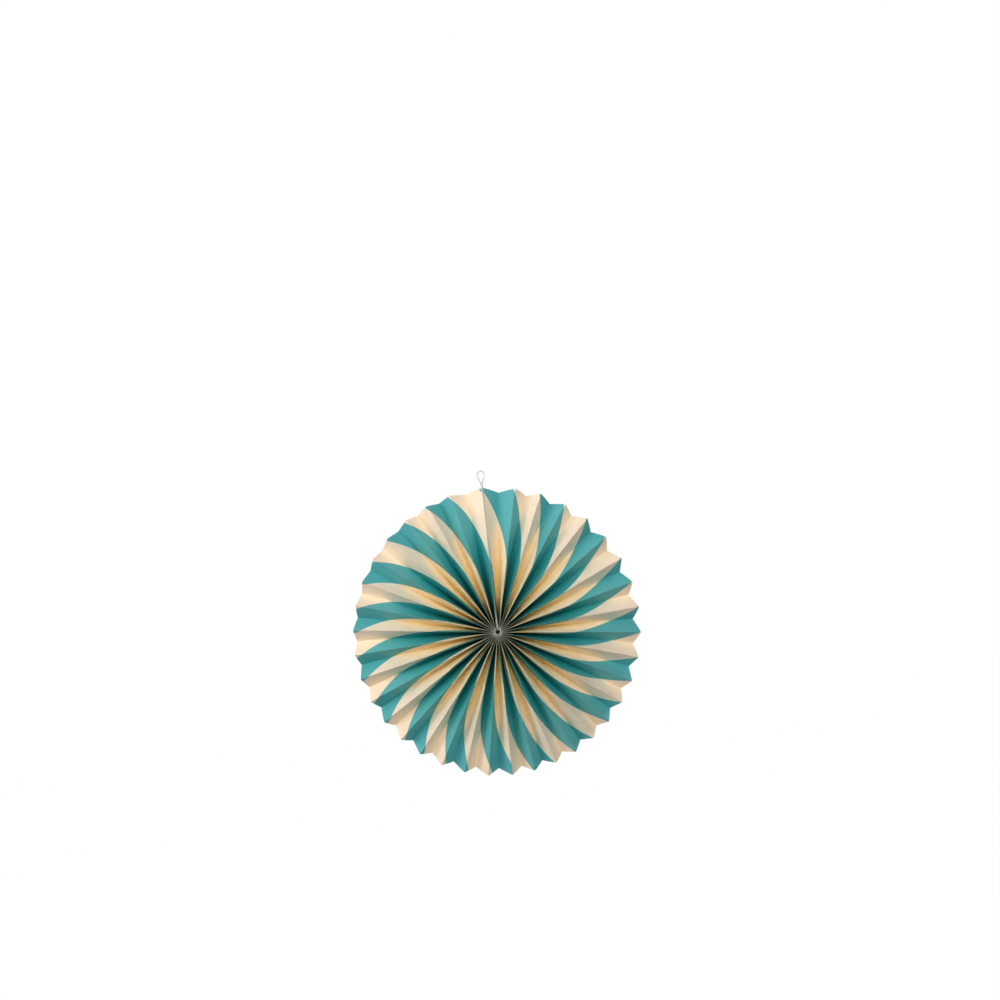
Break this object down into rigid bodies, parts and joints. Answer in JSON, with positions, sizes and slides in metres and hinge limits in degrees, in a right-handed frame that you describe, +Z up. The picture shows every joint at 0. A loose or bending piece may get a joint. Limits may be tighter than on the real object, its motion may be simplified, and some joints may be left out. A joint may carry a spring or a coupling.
{
  "type": "paper fan rosette",
  "caption": "Round hanging decoration of pleated paper: a folded sheet tied at its waist, fanned into a full disc with zigzag rim, on a thread loop.",
  "frame": {"origin": "the hub, at the middle of the disc and of its depth", "axes": "+Z up along the top seam towards the hanging loop, +X right as seen from the front, and the front faces -Y"},
  "size_m": [0.3195, 0.0212, 0.3394],
  "materials": {
    "printed_paper": "matte, printed in teal and cream swirl stripes",
    "adhesive_tape": "thin double-sided tape",
    "thread": "twisted white cotton",
    "binding_thread": "dark green sewing thread"
  },
  "bodies": {
    "root": {"pleated_sheet": "printed_paper", "top_seam_tape": "adhesive_tape", "bottom_seam_tape": "adhesive_tape", "waist_thread": "binding_thread", "hanging_thread": "thread"}
  },
  "joints": []
}
